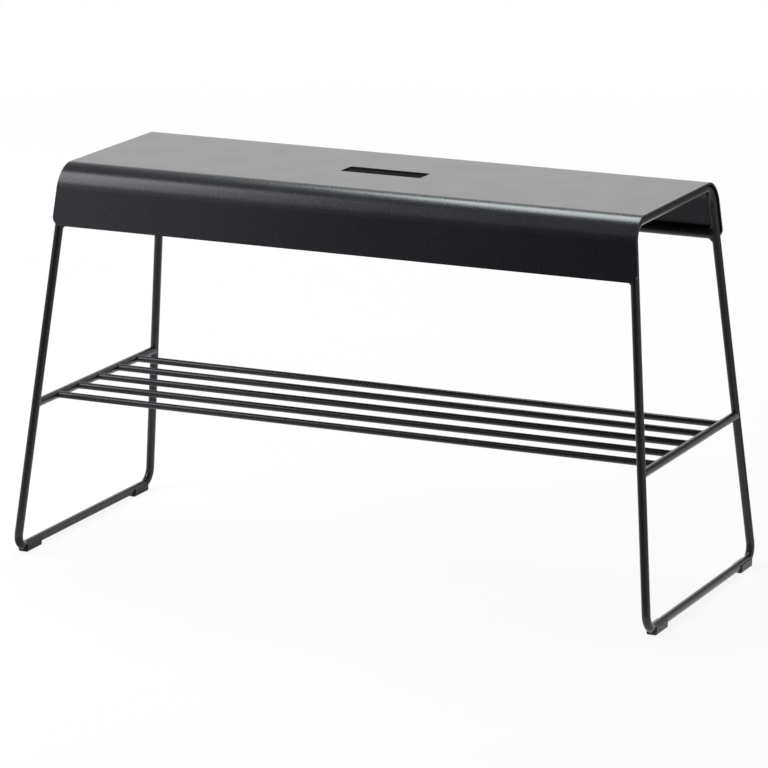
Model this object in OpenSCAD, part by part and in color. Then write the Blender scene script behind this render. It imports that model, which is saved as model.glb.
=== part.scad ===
// Outdoor bench of powder-coated steel.
// One folded sheet is the seat. It lies over two closed loops of bent rod, which lean
// towards each other and carry a shelf of straight rods between them.
// X runs along the bench, Y from front to rear and Z up, with the floor at Z = 0.

/* [Stand] */
// Height of the seat's top face above the floor
seat_h = 460; // [420:1:500]
// Distance between the centre lines of the two bottom bars
bar_spacing = 788; // [700:1:1000]
// Distance from front to rear between the legs' centre lines, taken at the bottom bars
leg_spacing = 341; // [325:1:400]
// Lean of each end loop towards the middle of the bench, in degrees
end_lean = 5.7; // [3:0.1:8]
// Slant of the legs, front and rear, in degrees
leg_slant = 6.25; // [4:0.25:8]

/* [Rods] */
// Diameter of the rod that the end loops and the crossbars are made of
rod_d = 10; // [8:0.5:12]
// Radius of the bends at the floor, on the rod's centre line
foot_bend_r = 17; // [14:0.5:26]
// Diameter of the stiffening rods inside the front and rear aprons
stiffener_d = 12; // [8:0.5:14]
// Radius of the weld fillets where the stiffening rods meet the legs
stiffener_fillet = 3; // [2:0.5:5]
// Size of the weld beads round the joints of the shelf and its crossbars
weld_bead = 0.5; // [0.4:0.1:1.5]
// How far a welded rod's end reaches round the rod that it meets
weld_depth = 2; // [1:0.5:3]
// Gap left at every welded joint, which the weld closes
weld_gap = 0.1; // [0.05:0.05:0.3]

/* [Seat] */
// Thickness of the folded sheet
seat_t = 2.5; // [2:0.25:4]
// Outside radius of the long bends at the front and the rear
seat_bend_r = 30; // [24:1:40]
// Height of the aprons, from the top face to their lower edge
apron_h = 70; // [55:1:100]
// Radius of the aprons' lower corners
apron_corner_r = 10; // [4:0.5:20]
// How far the sheet's ends stand past the outer side of the end loops
end_lip = 1.2; // [0.6:0.1:3]
// Length of the grip slot
slot_l = 100; // [80:1:160]
// Width of the grip slot
slot_w = 30; // [18:1:40]
// How far the slot's centre lies in front of the middle of the seat
slot_shift = 3.5; // [0:0.5:8]
// Radius of the slot's corners
slot_corner_r = 3; // [2:0.5:8]

/* [Shelf] */
// Height of the shelf rods' centre lines above the floor
shelf_h = 180; // [140:1:240]
// Diameter of the shelf rods
shelf_rod_d = 8; // [6:0.5:9]

/* [Glides] */
// Length of each glide along its bottom bar
glide_l = 34; // [24:1:44]
// How far each glide reaches under the bend beside it
glide_reach = 3.4; // [0:0.2:4]
// Thickness of the glide's jaws at the height of the bar's centre
glide_wall = 1.1; // [0.8:0.1:2.5]
// Thickness of the glide under the bar
glide_sole = 2.5; // [1.5:0.25:5]
// How far the glide's jaws reach above the bar's centre line
glide_grip = 2; // [1:0.25:2.5]
// Radius of the glide's long lower edges
glide_edge_r = 2; // [0.5:0.25:2.5]
// Gap between the glide's groove and the bar
glide_gap = 0.1; // [0.05:0.05:0.3]

/* [Hidden] */
$fn = 96;
// The small weld fillets need fewer sides
fillet_fn = 32;

coat_colour = "#26282b";
plastic_colour = "#17181a";

// Every cut runs this far past what it cuts
overrun = 1;
// The sheet's rounded edges have radii larger by this much, so that they cut its flat faces
blend_step = 0.01;
// Longer than the bench in any direction
past_all = 2 * (bar_spacing + seat_h);

rod_r = rod_d / 2;
shelf_rod_r = shelf_rod_d / 2;
stiffener_r = stiffener_d / 2;

// Height of the bottom bars' centre lines
bar_z = glide_sole + rod_r;
// From the outer face of the seat sheet to the centre line of the rod under it
sheet_to_rod = seat_t + weld_gap + rod_r;
// Height of the loops' top runs
run_z = seat_h - sheet_to_rod;
// Radius of the loops' top bends, which follow the seat's bends
run_bend_r = seat_bend_r - sheet_to_rod;

// The loops' own planes: the legs' slant and the distance between bar and run, measured there
plane_slant = atan(tan(leg_slant) * cos(end_lean));
plane_height = (run_z - bar_z) / cos(end_lean);
// From each bend's virtual corner to the end of the straight stretch beside it
foot_tangent = foot_bend_r * tan((90 + plane_slant) / 2);
run_tangent = run_bend_r * tan((90 - plane_slant) / 2);
leg_l = plane_height / cos(plane_slant) - foot_tangent - run_tangent;
foot_bend_y = leg_spacing / 2 - foot_tangent;

// Distance of a leg's centre line from the bench's middle at height z
function leg_x(z) = bar_spacing / 2 - tan(end_lean) * (z - bar_z);
function leg_y(z) = leg_spacing / 2 - tan(leg_slant) * (z - bar_z);

// The seat's section: outer corner, centre of the bend and length of the flat apron
seat_corner_y = leg_y(seat_h) + sheet_to_rod / cos(leg_slant);
seat_bend_y = seat_corner_y - seat_bend_r * tan((90 - leg_slant) / 2);
seat_bend_z = seat_h - seat_bend_r;
apron_l = (apron_h - seat_bend_r * (1 - sin(leg_slant))) / cos(leg_slant);
// Half the sheet's length at the aprons' lower edge
apron_end_x = leg_x(seat_h - apron_h) + (rod_r + end_lip) / cos(end_lean);
// The sheet's ends lean and the aprons slant, so the apron's corner is turned a little from
// square to the apron's face. Its end line leans by the second angle.
corner_turn = atan(tan(end_lean) * sin(leg_slant));
corner_lean = atan(tan(end_lean) * cos(leg_slant) * cos(corner_turn));

// The stiffening rods lie on the aprons' inner faces, level with the lower edge
stiffener_z = seat_h - apron_h + stiffener_r;
stiffener_y = leg_y(stiffener_z) + (rod_r - stiffener_r) / cos(leg_slant);
stiffener_l = 2 * (leg_x(stiffener_z) - rod_r / cos(end_lean) + weld_depth);
// The weld fillets end in a small step on the rod
fillet_step = 2 * weld_gap;

// The shelf rods are spread evenly between the legs
shelf_rods = 5;
shelf_y = leg_y(shelf_h);
shelf_pitch = 2 * shelf_y / (shelf_rods + 1);
shelf_rod_l = 2 * (leg_x(shelf_h) - rod_r + weld_depth);
crossbar_l = 2 * (shelf_y - rod_r / cos(leg_slant) + weld_depth);

glide_y = foot_bend_y + glide_reach - glide_l / 2;
glide_w = rod_d + 2 * (glide_gap + glide_wall);

// A solid that fills the half space on the negative side of one axis
module half_space(axis) {
  translate([for (i = [0:2]) i == axis ? -past_all : -past_all / 2])
    cube(past_all);
}

// What is drawn for one side, and its mirror image on the other side of the bench
module both_sides(axis) {
  children();
  mirror([for (i = [0:2]) i == axis ? 1 : 0])
    children();
}

// A full ring of rod about the Y axis
module rod_ring(radius) {
  rotate([90, 0, 0])
    rotate_extrude()
      translate([radius, 0])
        circle(r = rod_r);
}

// Puts its children in the plane of the right loop: X to the rear, Z up along the loop
module on_right_loop() {
  translate([bar_spacing / 2, 0, bar_z])
    rotate([0, -end_lean, 0])
      rotate([0, 0, 90])
        children();
}

// Rear half of the right loop, drawn from the centre of the bend at the floor
module half_loop() {
  difference() {
    rod_ring(foot_bend_r);
    half_space(0);
    rotate([0, -plane_slant, 0])
      mirror([0, 0, 1])
        half_space(2);
  }
  translate([0, 0, -foot_bend_r])
    rotate([0, -90, 0])
      cylinder(r = rod_r, h = foot_bend_y + overrun);
  rotate([0, -plane_slant, 0]) {
    translate([foot_bend_r, 0, 0])
      cylinder(r = rod_r, h = leg_l);
    translate([foot_bend_r - run_bend_r, 0, leg_l])
      top_bend();
  }
}

// The bend under the seat and the run that follows it, from the centre of the bend
module top_bend() {
  difference() {
    rod_ring(run_bend_r);
    half_space(2);
    rotate([0, plane_slant, 0])
      half_space(0);
  }
  rotate([0, plane_slant, 0])
    translate([0, 0, run_bend_r])
      rotate([0, -90, 0])
        cylinder(r = rod_r, h = seat_corner_y);
}

module right_loop() {
  on_right_loop()
    both_sides(0)
      difference() {
        translate([foot_bend_y, 0, foot_bend_r])
          half_loop();
        half_space(0);
      }
}

module right_end_loop() {
  color(coat_colour)
    right_loop();
}

module left_end_loop() {
  color(coat_colour)
    mirror([1, 0, 0])
      right_loop();
}

// A straight solid along the centre line of the right rear leg, to cut what meets that leg
module leg_cut(radius) {
  on_right_loop()
    translate([leg_spacing / 2, 0, 0])
      rotate([0, -plane_slant, 0])
        cylinder(r = radius, h = plane_height);
}

// Section of all that lies under the sheet's outer face, set in by the given depth.
// This is the rear half, with Y across the page and Z up it.
module under_face(depth) {
  bend_r = seat_bend_r - depth;
  past_r = 2 * seat_bend_r;
  difference() {
    square([seat_corner_y + apron_h, seat_h - depth]);
    translate([seat_bend_y, seat_bend_z]) {
      rotate(leg_slant)
        translate([bend_r, -past_all / 2])
          square(past_all);
      difference() {
        polygon([
          [0, 0],
          [0, past_r],
          [past_r, past_r],
          [past_r * cos(leg_slant), past_r * sin(leg_slant)]
        ]);
        circle(r = bend_r + blend_step);
      }
    }
  }
}

// Section of the folded sheet's rear half, with one apron
module half_section() {
  difference() {
    under_face(0);
    under_face(seat_t);
    translate([seat_bend_y, seat_bend_z])
      rotate(leg_slant)
        translate([-past_all / 2, -past_all - apron_l])
          square(past_all);
  }
}

// The folded sheet before its ends are cut
module sheet_blank() {
  rotate([90, 0, 90])
    linear_extrude(height = 2 * (apron_end_x + overrun), center = true)
      both_sides(0)
        half_section();
}

// Takes the sharp corner off the right end of the rear apron. The cut runs along the line in
// which the sheet's end and the apron's lower edge meet.
module apron_corner_cut() {
  corner_angle = 90 - corner_lean;
  past_r = 2 * apron_corner_r;
  translate([0, seat_bend_y, seat_bend_z])
    rotate([leg_slant, 0, 0])
      translate([apron_end_x, seat_bend_r, -apron_l])
        rotate([90, 0, corner_turn])
          translate([-apron_corner_r / tan(corner_angle / 2), apron_corner_r, -overrun])
            linear_extrude(height = seat_t + 2 * overrun)
              difference() {
                polygon([
                  [0, 0],
                  [0, -past_r],
                  [past_r, -past_r],
                  [past_r * cos(corner_lean), past_r * sin(corner_lean)]
                ]);
                circle(r = apron_corner_r + blend_step);
              }
}

// Cuts the sheet's right end parallel to the end loop
module end_cut() {
  translate([bar_spacing / 2, 0, bar_z])
    rotate([0, -end_lean, 0])
      translate([rod_r + end_lip, 0, 0])
        mirror([1, 0, 0])
          half_space(0);
}

module slot_cut() {
  flat_l = slot_l - 2 * slot_corner_r;
  flat_w = slot_w - 2 * slot_corner_r;
  translate([0, -slot_shift, seat_h - seat_t - overrun])
    linear_extrude(height = seat_t + 2 * overrun) {
      square([slot_l, flat_w], center = true);
      square([flat_l, slot_w], center = true);
      for (x = [-1, 1], y = [-1, 1])
        translate([x * flat_l / 2, y * flat_w / 2])
          circle(r = slot_corner_r);
    }
}

module seat_sheet() {
  color(coat_colour)
    difference() {
      sheet_blank();
      both_sides(1)
        both_sides(0)
          apron_corner_cut();
      both_sides(0)
        end_cut();
      slot_cut();
    }
}

// Weld fillet between the lowest line of a stiffening rod and the leg. It is hollow towards
// the corner that it fills, which opens by the given angle.
module weld_fillet(corner_angle) {
  size = stiffener_fillet;
  difference() {
    sphere(r = size, $fn = fillet_fn);
    translate([-size / tan(corner_angle / 2), 0, -size - fillet_step])
      rotate([90, 0, 0])
        cylinder(r = size, h = 2 * (size + overrun), center = true);
  }
}

// Straight rod along X, cut to fit round the legs at both ends, with its weld fillets
module rear_stiffener() {
  // Where the leg's inner side meets the rod's lowest and highest lines
  low_x = leg_x(stiffener_z - stiffener_r) - rod_r / cos(end_lean);
  high_x = leg_x(stiffener_z + stiffener_r) - rod_r / cos(end_lean);
  difference() {
    translate([0, stiffener_y, stiffener_z]) {
      rotate([0, 90, 0])
        cylinder(r = stiffener_r, h = stiffener_l, center = true);
      both_sides(0) {
        translate([low_x, 0, -stiffener_r])
          weld_fillet(90 + end_lean);
        translate([high_x, 0, stiffener_r])
          mirror([0, 0, 1])
            weld_fillet(90 - end_lean);
      }
    }
    both_sides(0)
      leg_cut(rod_r + weld_gap);
  }
}

module rear_stiffener_rod() {
  color(coat_colour)
    rear_stiffener();
}

module front_stiffener_rod() {
  color(coat_colour)
    mirror([0, 1, 0])
      rear_stiffener();
}

module crossbar_blank(radius) {
  translate([leg_x(shelf_h), 0, shelf_h])
    rotate([90, 0, 0])
      cylinder(r = radius, h = crossbar_l, center = true);
}

// Straight rod between the two right legs, cut to fit round both, with its weld beads
module crossbar() {
  difference() {
    union() {
      crossbar_blank(rod_r);
      intersection() {
        crossbar_blank(rod_r + weld_bead);
        both_sides(1)
          leg_cut(rod_r + weld_bead);
      }
    }
    both_sides(1)
      leg_cut(rod_r + weld_gap);
  }
}

module right_crossbar() {
  color(coat_colour)
    crossbar();
}

module left_crossbar() {
  color(coat_colour)
    mirror([1, 0, 0])
      crossbar();
}

module shelf_rod_blank(radius) {
  rotate([0, 90, 0])
    cylinder(r = radius, h = shelf_rod_l, center = true);
}

// Straight solids along both crossbars, to cut the ends of one shelf rod
module crossbar_cuts(radius) {
  both_sides(0)
    translate([leg_x(shelf_h), 0, 0])
      rotate([90, 0, 0])
        cylinder(r = radius, h = 2 * rod_d, center = true);
}

// Shelf rod number i, counted from the front, cut to fit round both crossbars
module shelf_rod(i) {
  color(coat_colour)
    translate([0, i * shelf_pitch - shelf_y, shelf_h])
      difference() {
        union() {
          shelf_rod_blank(shelf_rod_r);
          intersection() {
            shelf_rod_blank(shelf_rod_r + weld_bead);
            crossbar_cuts(rod_r + weld_bead);
          }
        }
        crossbar_cuts(rod_r + weld_gap);
      }
}

// Plastic glide clipped under a bottom bar, with jaws that close over the bar
module glide() {
  glide_h = bar_z + glide_grip;
  half_w = glide_w / 2;
  color(plastic_colour)
    rotate([90, 0, 0])
      linear_extrude(height = glide_l, center = true)
        difference() {
          union() {
            translate([-half_w, glide_edge_r])
              square([glide_w, glide_h - glide_edge_r]);
            translate([glide_edge_r - half_w, 0])
              square([glide_w - 2 * glide_edge_r, glide_h]);
            for (side = [-1, 1])
              translate([side * (half_w - glide_edge_r), glide_edge_r])
                circle(r = glide_edge_r);
          }
          translate([0, bar_z])
            circle(r = rod_r + glide_gap);
        }
}

module glide_at(side_x, side_y) {
  translate([side_x * bar_spacing / 2, side_y * glide_y, 0])
    glide();
}

seat_sheet();
left_end_loop();
right_end_loop();
front_stiffener_rod();
rear_stiffener_rod();
left_crossbar();
right_crossbar();
shelf_rod(1);  // shelf_rod_1
shelf_rod(2);  // shelf_rod_2
shelf_rod(3);  // shelf_rod_3
shelf_rod(4);  // shelf_rod_4
shelf_rod(5);  // shelf_rod_5
glide_at(-1, -1);  // glide_front_left
glide_at(1, -1);  // glide_front_right
glide_at(-1, 1);  // glide_rear_left
glide_at(1, 1);  // glide_rear_right
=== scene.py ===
"""Looks of the outdoor bench: powder-coated steel, moulded glides, weld beads and a pale studio."""
import math

import bmesh
import bpy
from mathutils import Matrix, Vector, noise


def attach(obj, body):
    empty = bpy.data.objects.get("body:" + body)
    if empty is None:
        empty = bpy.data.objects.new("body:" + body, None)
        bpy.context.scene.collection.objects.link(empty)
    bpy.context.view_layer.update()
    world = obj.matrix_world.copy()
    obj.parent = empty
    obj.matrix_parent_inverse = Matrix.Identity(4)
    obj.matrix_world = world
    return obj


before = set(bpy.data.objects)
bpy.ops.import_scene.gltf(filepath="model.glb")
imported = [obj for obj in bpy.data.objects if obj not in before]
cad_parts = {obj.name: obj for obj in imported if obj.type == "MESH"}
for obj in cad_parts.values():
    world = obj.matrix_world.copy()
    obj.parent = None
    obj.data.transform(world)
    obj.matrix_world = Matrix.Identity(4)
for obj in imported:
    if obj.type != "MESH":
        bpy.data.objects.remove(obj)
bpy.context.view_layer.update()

MM = 0.001
TURN = 2 * math.pi

# The bench's own sizes, as the CAD source gives them
END_LEAN = math.radians(5.7)
LEG_SLANT = math.radians(6.25)
BAR_X = 394 * MM
BAR_Y = 170.5 * MM
BAR_Z = 7.5 * MM
ROD_R = 5 * MM
SHELF_RODS = 5
SHELF_ROD_R = 4 * MM
STIFFENER_R = 6 * MM
SHELF_Z = 180 * MM
STIFFENER_Z = 396 * MM
SHEET_T = 2.5 * MM
SEAT_Z = 460 * MM
WELD_DEPTH = 2 * MM
WELD_GAP = 0.1 * MM

# A weld round a rod's end: how far it reaches from the corner, and how full it is
CROSSBAR_WELD = (1.1 * MM, 0.5)
SHELF_ROD_WELD = (1.05 * MM, 0.5)
STIFFENER_WELD = (4.4 * MM, 0.42)
WELD_RIPPLE = 1.3 * MM

# The stitch welds between the end loops and the sheet
STITCH_R = 1.3 * MM
STITCH_RIPPLE = 1.6 * MM
STITCH_INWARD = 3.7 * MM
STITCH_SUNK = 0.8 * MM
TOP_STITCH_Y = (-68 * MM, 0.0, 68 * MM)
TOP_STITCH_L = 26 * MM
APRON_STITCH_Z = (407 * MM, 426.2 * MM)

# The photograph's camera, in the bench's frame
CAMERA_PLACE = (2.118187, -4.733858, 1.467633)
CAMERA_TURNS = (24.1214, 13.6326, 0.4063)
FOCAL_PIXELS = 4608.68
PICTURE_PIXELS = 768


def leg_x(z):
    """How far a leg's centre line is from the bench's middle at height z, along the bench."""
    return BAR_X - math.tan(END_LEAN) * (z - BAR_Z)


def leg_y(z):
    """How far a leg's centre line is from the bench's middle at height z, front to rear."""
    return BAR_Y - math.tan(LEG_SLANT) * (z - BAR_Z)


# Materials


class Nodes:
    """A node tree that is written from left to right."""

    def __init__(self, tree):
        self.tree = tree
        tree.nodes.clear()

    def add(self, kind, inputs=(), **settings):
        node = self.tree.nodes.new(kind)
        for key, value in settings.items():
            setattr(node, key, value)
        for socket, value in dict(inputs).items():
            self.put(node.inputs[socket], value)
        return node

    def put(self, socket, value):
        if isinstance(value, bpy.types.NodeSocket):
            self.tree.links.new(value, socket)
        else:
            socket.default_value = value

    def place(self):
        """Coordinates that are fixed to the object, in metres."""
        return self.add("ShaderNodeTexCoord").outputs["Object"]

    def noise(self, vector, size, detail=2.0, roughness=0.5):
        """Cloudy noise with features of about the given size in metres."""
        node = self.add(
            "ShaderNodeTexNoise",
            {"Vector": vector, "Scale": 1 / size, "Detail": detail, "Roughness": roughness},
        )
        return node.outputs["Fac"]

    def span(self, value, low, high, start=0.3, end=0.7):
        """value, which mostly lies between start and end, brought to low and high."""
        node = self.add(
            "ShaderNodeMapRange",
            {"Value": value, "From Min": start, "From Max": end, "To Min": low, "To Max": high},
        )
        return node.outputs["Result"]

    def blend(self, factor, first, second):
        """A colour between two colours, which are sockets or three numbers."""
        node = self.add("ShaderNodeMix", {"Factor": factor}, data_type="RGBA")
        colours = [socket for socket in node.inputs if socket.type == "RGBA"]
        for socket, value in zip(colours, (first, second)):
            self.put(socket, (*value, 1) if isinstance(value, tuple) else value)
        return next(socket for socket in node.outputs if socket.type == "RGBA")

    def maths(self, operation, first, second):
        node = self.add("ShaderNodeMath", {0: first, 1: second}, operation=operation)
        return node.outputs[0]

    def bump(self, height, distance, strength=1.0, normal=None):
        inputs = {"Height": height, "Distance": distance, "Strength": strength}
        if normal is not None:
            inputs["Normal"] = normal
        return self.add("ShaderNodeBump", inputs).outputs["Normal"]

    def finish(self, shader, kind="Material"):
        self.add(f"ShaderNodeOutput{kind}", {"Surface": shader.outputs[0]})


def new_material(name):
    material = bpy.data.materials.new(name)
    material.use_nodes = True
    return material, Nodes(material.node_tree)


def scaled(colour, factor):
    return tuple(factor * c for c in colour)


def powder_coat(name, colour, roughness, ior, grain=0.7 * MM):
    """Fine-grained powder coat: a sandy grain on a faint orange peel, with cloudy sheen."""
    material, n = new_material(name)
    place = n.place()
    cloud = n.noise(place, 45 * MM, 3)
    peel = n.noise(place, 2.2 * MM, 2, 0.6)
    sand = n.noise(place, grain, 3, 0.6)
    speckle = n.blend(n.span(sand, 0.0, 1.0), scaled(colour, 0.78), scaled(colour, 1.25))
    shade = n.blend(n.span(cloud, 0.0, 0.35), speckle, scaled(colour, 1.1))
    cloudy = n.span(cloud, roughness - 0.01, roughness + 0.01)
    rolling = n.bump(peel, 0.012 * MM)
    n.finish(n.add("ShaderNodeBsdfPrincipled", {
        "Base Color": shade,
        "Roughness": n.maths("ADD", cloudy, n.span(peel, -0.015, 0.015)),
        "Specular IOR Level": n.span(peel, 0.44, 0.56),
        "Specular Tint": (0.99, 1.0, 1.08, 1),
        "Normal": n.bump(sand, 0.004 * MM, normal=rolling),
        "IOR": ior,
    }))
    return material


def moulded_plastic(name, colour):
    """Black plastic with the matt grain of an eroded mould."""
    material, n = new_material(name)
    place = n.place()
    grain = n.noise(place, 0.5 * MM)
    cloud = n.noise(place, 12 * MM)
    scuff = n.noise(place, 2.5 * MM, 4, 0.7)
    n.finish(n.add("ShaderNodeBsdfPrincipled", {
        "Base Color": n.blend(n.span(cloud, 0.0, 1.0), colour, scaled(colour, 1.5)),
        "Roughness": n.maths("ADD", n.span(scuff, 0.42, 0.56), n.span(grain, -0.03, 0.03)),
        "Normal": n.bump(grain, 0.02 * MM, 0.5),
        "IOR": 1.46,
    }))
    return material


SHEET_COAT = powder_coat("coat_on_sheet", (0.0060, 0.0064, 0.0092), 0.28, 1.5)
ROD_COAT = powder_coat("coat_on_rods", (0.0060, 0.0063, 0.0080), 0.28, 1.42)
WELD_COAT = powder_coat("coat_on_welds", (0.0060, 0.0063, 0.0080), 0.30, 1.42, 0.5 * MM)
GLIDE_PLASTIC = moulded_plastic("glide_plastic", (0.0050, 0.0050, 0.0054))

for node_name, node_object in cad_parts.items():
    if node_name.startswith("glide"):
        material = GLIDE_PLASTIC
    elif node_name == "seat_sheet":
        material = SHEET_COAT
    else:
        material = ROD_COAT
    for material_slot in node_object.material_slots:
        material_slot.material = material


# Welds


def make_piece(name, mesh):
    """A piece of coated steel from a bmesh, on the bench's one body."""
    bmesh.ops.recalc_face_normals(mesh, faces=mesh.faces)
    for face in mesh.faces:
        face.smooth = True
    data = bpy.data.meshes.new(name)
    mesh.to_mesh(data)
    mesh.free()
    data.materials.append(WELD_COAT)
    piece = bpy.data.objects.new(name, data)
    bpy.context.collection.objects.link(piece)
    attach(piece, "root")


def bridge(mesh, one, two):
    """Faces between two rings with the same number of points."""
    count = len(one)
    for k in range(count):
        mesh.faces.new((one[k], one[(k + 1) % count], two[(k + 1) % count], two[k]))


def stitch_weld(name, path, seed):
    """A short bead: a tube along a path, whose thickness rises and falls as the weld pool did."""
    sides, taper = 14, 4
    mesh = bmesh.new()
    last = len(path) - 1
    rings = []
    travelled = 0.0
    across = None
    for i, point in enumerate(path):
        along = (path[min(i + 1, last)] - path[max(i - 1, 0)]).normalized()
        if across is None:
            across = along.orthogonal().normalized()
        else:
            travelled += (point - path[i - 1]).length
            across = (across - along * across.dot(along)).normalized()
        other = along.cross(across)
        wave = abs(math.sin(math.pi * travelled / STITCH_RIPPLE))
        wander = noise.noise(Vector((travelled / (4 * STITCH_RIPPLE), seed, 0)))
        size = STITCH_R * (0.90 + 0.12 * wave + 0.10 * wander)
        size *= math.sqrt(min(1.0, 0.12 + min(i, last - i) / taper))
        ring = []
        for k in range(sides):
            angle = TURN * k / sides
            outward = math.cos(angle) * across + math.sin(angle) * other
            ring.append(mesh.verts.new(point + size * outward))
        rings.append(ring)
    for one, two in zip(rings, rings[1:]):
        bridge(mesh, one, two)
    mesh.faces.new(rings[0][::-1])
    mesh.faces.new(rings[-1])
    make_piece(name, mesh)


def joint_weld(name, rod, post, weld, sides, seed):
    """A weld round a rod's end: a ring that fills the corner between the rod and a post.

    rod and post are (a point on the centre line, its direction, its radius). The rod's end
    reaches round the post as far as WELD_DEPTH. weld is (its reach from the corner, its
    fullness), where a fullness of 0 is a hollow fillet and 0.5 a flat one. The sides are the
    factors that mirror the weld to another corner of the bench.
    """
    centre, along, radius = rod
    post_place, post_along, post_radius = post
    reach, fullness = weld
    post_along = post_along.normalized()
    across = along.cross(post_along).normalized()
    other = along.cross(across)
    a = along - along.dot(post_along) * post_along
    farthest = (post_place - centre).dot(along) - post_radius + WELD_DEPTH
    steps, arc, sunk, ripple_height, swell = 120, 6, 0.35 * MM, 0.06 * MM, 0.05 * MM
    mesh = bmesh.new()
    rings = []
    travelled = 0.0
    before = None
    for k in range(steps):
        angle = TURN * k / steps
        outward = math.cos(angle) * across + math.sin(angle) * other
        # Where the rod's surface meets the post's: the nearer root of a quadratic equation
        start = centre + radius * outward
        offset = start - post_place
        b = offset - offset.dot(post_along) * post_along
        half = a.dot(b) / a.dot(a)
        room = half * half - (b.dot(b) - post_radius**2) / a.dot(a)
        distance = -half - math.sqrt(room) if room > 0 else farthest
        corner = start + min(distance, farthest) * along
        if before is not None:
            travelled += (corner - before).length
        before = corner
        wave = abs(math.sin(math.pi * travelled / WELD_RIPPLE))
        wander = noise.noise(Vector((math.cos(angle), math.sin(angle), seed)))
        leg = reach * (0.96 + 0.08 * wander) + ripple_height * wave
        on_rod = corner - leg * along
        aim = corner + leg * outward + 0.5 * leg * along
        foot = post_place + post_along * (aim - post_place).dot(post_along)
        away = (aim - foot).normalized()
        on_post = foot + post_radius * away
        bulge = fullness + swell / reach * wave
        middle = corner + bulge * (on_rod + on_post - 2 * corner)
        profile = []
        for j in range(arc + 1):
            t = j / arc
            profile.append((1 - t) ** 2 * on_rod + 2 * t * (1 - t) * middle + t * t * on_post)
        profile.append(on_post - sunk * away)
        profile.append(corner - sunk * outward + sunk * along)
        profile.append(on_rod - sunk * outward)
        rings.append([mesh.verts.new((sides[0] * v.x, sides[1] * v.y, v.z)) for v in profile])
    for one, two in zip(rings, rings[1:] + rings[:1]):
        bridge(mesh, one, two)
    mesh.verts.index_update()
    for edge in mesh.edges:
        places = [v.index % len(profile) for v in edge.verts]
        edge.smooth = not (places[0] == places[1] and places[0] in (0, arc))
    make_piece(name, mesh)


SIDES = (("left", -1), ("right", 1))
ENDS = (("front", -1), ("rear", 1))

LEG_WAY = Vector((-math.tan(END_LEAN), -math.tan(LEG_SLANT), 1))
X_WAY = Vector((1, 0, 0))
Y_WAY = Vector((0, 1, 0))


def leg_at(z):
    """A leg, as joint_weld wants a post."""
    return Vector((leg_x(z), leg_y(z), z)), LEG_WAY, ROD_R


def add_joint_welds():
    """A weld round each end of the crossbars, shelf rods and stiffening rods."""
    seed = 0
    leg = leg_at(SHELF_Z)
    crossbar = (Vector((leg_x(SHELF_Z), 0, SHELF_Z)), Y_WAY, ROD_R)
    for side, x in SIDES:
        for end, y in ENDS:
            seed += 1
            joint_weld(f"weld_crossbar_{end}_{side}", crossbar, leg, CROSSBAR_WELD, (x, y), seed)
    pitch = 2 * leg_y(SHELF_Z) / (SHELF_RODS + 1)
    for i in range(1, SHELF_RODS + 1):
        rod_y = i * pitch - leg_y(SHELF_Z)
        rod = (Vector((0, rod_y, SHELF_Z)), X_WAY, SHELF_ROD_R)
        post = (Vector((leg_x(SHELF_Z), rod_y, SHELF_Z)), Y_WAY, ROD_R)
        for side, x in SIDES:
            seed += 1
            joint_weld(f"weld_shelf_rod_{i}_{side}", rod, post, SHELF_ROD_WELD, (x, 1), seed)
    leg = leg_at(STIFFENER_Z)
    rod_y = leg_y(STIFFENER_Z) + (ROD_R - STIFFENER_R) / math.cos(LEG_SLANT)
    rod = (Vector((0, rod_y, STIFFENER_Z)), X_WAY, STIFFENER_R)
    for side, x in SIDES:
        for end, y in ENDS:
            seed += 1
            joint_weld(f"weld_stiffener_{end}_{side}", rod, leg, STIFFENER_WELD, (x, y), seed)


def spread(low, high, count):
    """Evenly spaced values from low to high."""
    return [low + (high - low) * k / (count - 1) for k in range(count)]


def add_stitch_welds():
    """Short beads in the corners between the end loops and the sheet, on the inner sides."""
    top_points, apron_points = 41, 33
    corner = ROD_R + WELD_GAP - STITCH_SUNK
    run_z = SEAT_Z - SHEET_T - WELD_GAP - ROD_R
    run_x = leg_x(run_z) - STITCH_INWARD
    seed = 40
    for side, x in SIDES:
        for number, middle in enumerate(TOP_STITCH_Y, 1):
            seed += 1
            ys = spread(middle - TOP_STITCH_L / 2, middle + TOP_STITCH_L / 2, top_points)
            path = [Vector((x * run_x, y, run_z + corner)) for y in ys]
            stitch_weld(f"stitch_top_{side}_{number}", path, seed)
        for end, y in ENDS:
            seed += 1
            path = []
            for z in spread(*APRON_STITCH_Z, apron_points):
                bead_x = leg_x(z) - STITCH_INWARD
                bead_y = leg_y(z) + corner * math.cos(LEG_SLANT)
                path.append(Vector((x * bead_x, y * bead_y, z + corner * math.sin(LEG_SLANT))))
            stitch_weld(f"stitch_apron_{end}_{side}", path, seed)


add_joint_welds()
add_stitch_welds()


# Studio


def light_path(n):
    """Two values: 1 for the camera's rays, and 1 for those and for what metal and glass show."""
    path = n.add("ShaderNodeLightPath").outputs
    seen = n.maths("MAXIMUM", path["Is Camera Ray"], path["Is Glossy Ray"])
    return path["Is Camera Ray"], n.maths("MAXIMUM", seen, path["Is Transmission Ray"])


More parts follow.
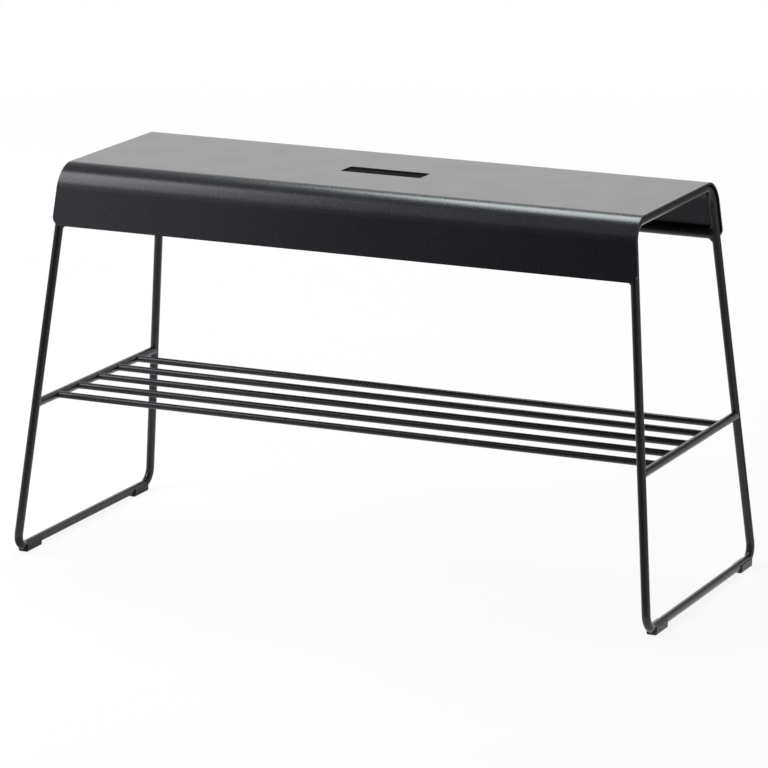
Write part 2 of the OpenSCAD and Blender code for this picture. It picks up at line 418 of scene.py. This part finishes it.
def build_world():
    """A white horizon. What shines shows a dim ceiling over it, between the lamps."""
    ceiling_level, unseen_level = 0.40, 0.40
    ceiling_starts, ceiling_full = 0.36, 0.60
    world = bpy.data.worlds.new("studio")
    bpy.context.scene.world = world
    world.use_nodes = True
    n = Nodes(world.node_tree)
    camera, seen = light_path(n)
    way = n.add("ShaderNodeTexCoord").outputs["Generated"]
    height = n.add("ShaderNodeSeparateXYZ", {0: way}).outputs["Z"]
    ceiling = n.add(
        "ShaderNodeMapRange",
        {"Value": height, "From Min": ceiling_starts, "From Max": ceiling_full},
        interpolation_type="SMOOTHSTEP",
    ).outputs["Result"]
    shown = n.maths("MAXIMUM", n.span(ceiling, 1.0, ceiling_level, 0.0, 1.0), camera)
    unseen = n.span(seen, unseen_level, 0.0, 0.0, 1.0)
    level = n.maths("ADD", n.maths("MULTIPLY", seen, shown), unseen)
    back = n.add("ShaderNodeBackground", {"Color": (1, 1, 1, 1), "Strength": level})
    n.finish(back, "World")


def stage_plane(name, corners, material):
    data = bpy.data.meshes.new(name)
    data.from_pydata([Vector(c) for c in corners], [], [tuple(range(len(corners)))])
    data.materials.append(material)
    plane = bpy.data.objects.new(name, data)
    bpy.context.collection.objects.link(plane)
    return plane


def build_floor():
    """A white floor that keeps the bench's shadow, and is a little brighter in what shines."""
    material, n = new_material("pale_floor")
    camera, seen = light_path(n)
    place = n.place()
    patches = n.span(n.noise(place, 0.3), 0.0, 1.0)
    shade = n.blend(patches, (0.84, 0.84, 0.84), (0.88, 0.88, 0.88))
    paint = n.add("ShaderNodeBsdfDiffuse", {"Color": shade})
    far = n.add("ShaderNodeVectorMath", {0: place}, operation="LENGTH").outputs["Value"]
    shining = n.maths("SUBTRACT", seen, camera)
    near_lift = n.maths("MULTIPLY", shining, n.span(far, 0.25, 0.0, 0.5, 1.3))
    level = n.maths("ADD", n.span(far, 1.02, 1.10, 0.9, 3.5), near_lift)
    glow = n.add("ShaderNodeEmission", {"Color": (1, 1, 1, 1), "Strength": level})
    share = n.maths("MULTIPLY", seen, 0.86)
    n.finish(n.add("ShaderNodeMixShader", {0: share, 1: paint.outputs[0], 2: glow.outputs[0]}))
    reach, points = 14, 48
    angles = [TURN * k / points for k in range(points)]
    stage_plane("floor", [(reach * math.cos(a), reach * math.sin(a), 0) for a in angles], material)


def dark_card(name, corners, left, right=None, ends=(0, 1), colour=(1, 1, 1)):
    """A dark card outside the picture, which only shows in what shines.

    Its shade goes from left to right between the two ends, which are places along the bench.
    Without a right it has the left shade all over, but still as a ramp: Cycles samples a card
    in another way when the strength of its light is a bare number.
    """
    material, n = new_material(name)
    if right is None:
        right = left
    x = n.add("ShaderNodeSeparateXYZ", {0: n.place()}).outputs["X"]
    shade = n.span(x, left, right, *ends)
    n.finish(n.add("ShaderNodeEmission", {"Color": (*colour, 1), "Strength": shade}))
    card = stage_plane(name, corners, material)
    card.visible_camera = False
    card.visible_diffuse = False
    card.visible_shadow = False
    card.visible_transmission = False


def standing(left, right, y, bottom, top):
    """Corners of an upright rectangle that faces front and rear."""
    return [(left, y, bottom), (right, y, bottom), (right, y, top), (left, y, top)]


def lying(left, right, front, rear):
    """Corners of a rectangle that lies just above the floor."""
    z = 1 * MM
    return [(left, front, z), (right, front, z), (right, rear, z), (left, rear, z)]


def sideways(x, front, rear, top):
    """Corners of an upright rectangle that faces left and right."""
    return [(x, front, 0), (x, rear, 0), (x, rear, top), (x, front, top)]


def build_cards():
    """The cards that shape the reflections. Each is named after where it stands or lies."""
    dark_card("dark_left", sideways(-1.7, -2.4, 0.4, 0.9), 0.55)
    dark_card("dark_front_left", standing(-0.91, 0.2, -1.5, 0, 1.3), 0.42, 0.045, (-0.9, -0.28))
    dark_card("dark_front_right", standing(0.2, 2.8, -1.5, 0, 1.3), 0.10, 0.60, (0.2, 2.0))
    dark_card("dark_low_front", lying(-0.25, 2.8, -1.5, -0.3), 0.5)
    dark_card("dark_low_left", lying(-0.9, -0.25, -1.45, -0.7), 0.0)
    dark_card("dark_low_right", lying(0.62, 2.6, 0.1, 2.2), 0.35, 0.6, (0.62, 2.4))
    near_right = standing(0.43, 1.8, 0.65, 0.27, 1.3)
    dark_card("dark_near_right", near_right, 0.22, 0.45, (0.43, 1.8), colour=(1.0, 1.0, 0.86))
    dark_card("dark_rear", standing(0.3, 1.7, 1.3, 0.48, 1.3), 0.25, 0.3, (0.3, 1.7))
    # Painted shadow: a dark strip on the floor under the left bottom bar, which stands in for the
    # contact shadow that the bar shows in its reflection.
    dark_card("painted_shadow_under_left_bar", lying(-0.44, -0.36, -0.2, 0.2), 0.5)


def softbox(name, low, high, toward, width, radiance, colour=(1, 1, 1)):
    """A soft area lamp whose middle line runs from low to high and that faces a point."""
    low, high = Vector(low), Vector(high)
    up = (high - low).normalized()
    place = (low + high) / 2
    way = Vector(toward) - place
    back = (way.dot(up) * up - way).normalized()
    lamp = bpy.data.lights.new(name, "AREA")
    lamp.shape = "RECTANGLE"
    lamp.size, lamp.size_y = width, (high - low).length
    lamp.energy = radiance * math.pi * lamp.size * lamp.size_y
    lamp.color = colour
    thing = bpy.data.objects.new(name, lamp)
    bpy.context.collection.objects.link(thing)
    turn = Matrix((up.cross(back), up, back)).transposed().to_4x4()
    thing.matrix_world = Matrix.Translation(place) @ turn
    thing.visible_camera = False


def build_lamps():
    softbox("key", (-1.74, -1.79, 1.22), (-1.24, -0.33, 1.72), (-0.2, 0.0, 0.44), 1.08, 5.3)
    softbox(
        "back", (-1.5, 2.3, 0.5), (-1.5, 2.3, 1.4), (-1.5, 0.0, 0.95), 2.2, 0.42, (1.0, 0.96, 0.97)
    )
    softbox(
        "rim",
        (-0.67, 1.27, 2.08), (-0.25, 0.22, 2.32), (0.0, 0.0, 0.45), 0.55, 9.4, (0.925, 1.0, 0.965),
    )


def build_camera():
    """The photograph's camera: a long lens, a little above the seat, to the right of the front."""
    yaw, pitch, roll = (math.radians(angle) for angle in CAMERA_TURNS)
    forward = Vector(
        (-math.sin(yaw) * math.cos(pitch), math.cos(yaw) * math.cos(pitch), -math.sin(pitch))
    )
    level_right = Vector((math.cos(yaw), math.sin(yaw), 0))
    level_up = level_right.cross(forward)
    right = level_right * math.cos(roll) + level_up * math.sin(roll)
    up = level_up * math.cos(roll) - level_right * math.sin(roll)
    data = bpy.data.cameras.new("camera")
    data.sensor_width = 36
    data.lens = data.sensor_width * FOCAL_PIXELS / PICTURE_PIXELS
    data.clip_start, data.clip_end = 0.1, 100
    camera = bpy.data.objects.new("camera", data)
    bpy.context.collection.objects.link(camera)
    turn = Matrix((right, up, -forward)).transposed().to_4x4()
    camera.matrix_world = Matrix.Translation(CAMERA_PLACE) @ turn
    bpy.context.scene.camera = camera


build_camera()
build_world()
build_floor()
build_cards()
build_lamps()

bpy.context.scene.view_settings.view_transform = "Standard"
